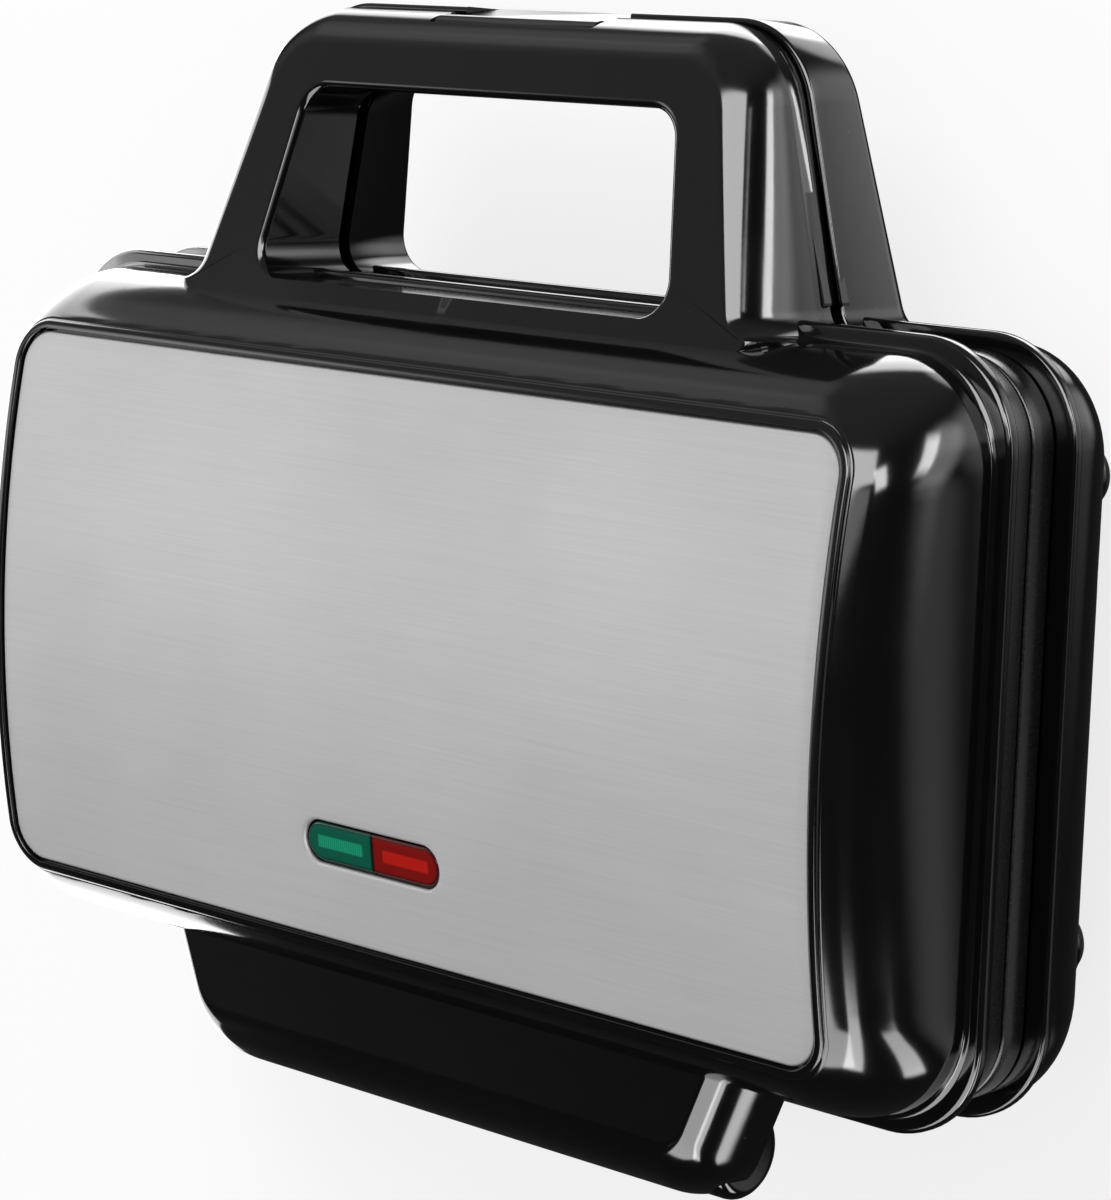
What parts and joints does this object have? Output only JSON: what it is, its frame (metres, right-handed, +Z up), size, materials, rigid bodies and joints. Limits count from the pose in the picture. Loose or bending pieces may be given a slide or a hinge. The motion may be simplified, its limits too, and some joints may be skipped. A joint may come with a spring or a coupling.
{
  "type": "sandwich maker",
  "caption": "Electric sandwich maker: hinged lid with crowned steel panel and indicator, triangular cooking pockets, split carrying handle with latch clip, rubber feet.",
  "frame": {"origin": "centre of the footprint of the whole part, on the surface that the feet stand on", "axes": "+X along the longer side of the lid, +Y towards the hinge, so the handle points to -Y, +Z up, with the lid closed"},
  "size_m": [0.272, 0.2356, 0.0864],
  "materials": {
    "gloss_black": "polished",
    "matt_black": "fine texture",
    "steel": "brushed",
    "coated_aluminium": "non-stick coating",
    "element_steel": "heat-tinted",
    "sheet_metal": "mill finish",
    "green_plastic": "clear tinted",
    "red_plastic": "clear tinted",
    "white_plastic": "satin",
    "lamp_glass": "clear",
    "foot_rubber": "matt",
    "wire_insulation": "smooth"
  },
  "bodies": {
    "base": {"base_shell": "gloss_black", "lower_frame": "matt_black", "lower_plate": "coated_aluminium", "lower_element": "element_steel", "lower_reflector": "sheet_metal", "lower_handle_cover": "matt_black", "hinge_pin_left": "steel", "hinge_pin_right": "steel", "cord_inlet": "matt_black", "foot_front_left": "foot_rubber", "foot_front_right": "foot_rubber", "foot_rear_left": "foot_rubber", "foot_rear_right": "foot_rubber", "foot_screw_front_left": "steel", "foot_screw_front_right": "steel", "foot_screw_rear_left": "steel", "foot_screw_rear_right": "steel", "terminal_block": "white_plastic", "supply_wire": "wire_insulation", "lower_element_wire": "wire_insulation"},
    "lid": {"lid_shell": "gloss_black", "steel_panel": "steel", "green_lens": "green_plastic", "red_lens": "red_plastic", "lamp_holder": "white_plastic", "green_lamp": "lamp_glass", "red_lamp": "lamp_glass", "upper_frame": "matt_black", "upper_plate": "coated_aluminium", "upper_element": "element_steel", "upper_reflector": "sheet_metal", "thermostat": "sheet_metal", "thermal_fuse": "white_plastic", "upper_handle_cover": "matt_black", "latch_pin": "steel", "upper_element_wire": "wire_insulation"},
    "latch": {"latch_clip": "gloss_black"}
  },
  "joints": [
    {"name": "lid_hinge", "type": "hinge", "parent": "base", "child": "lid", "pos_m": [0, 0.1078, 0.0455], "axis": [-1, 0, 0], "range_deg": [0, 98]},
    {"name": "latch_swing", "type": "hinge", "parent": "lid", "child": "latch", "pos_m": [0, -0.1135, 0.047], "axis": [-1, 0, 0], "range_deg": [-7, 50]}
  ]
}
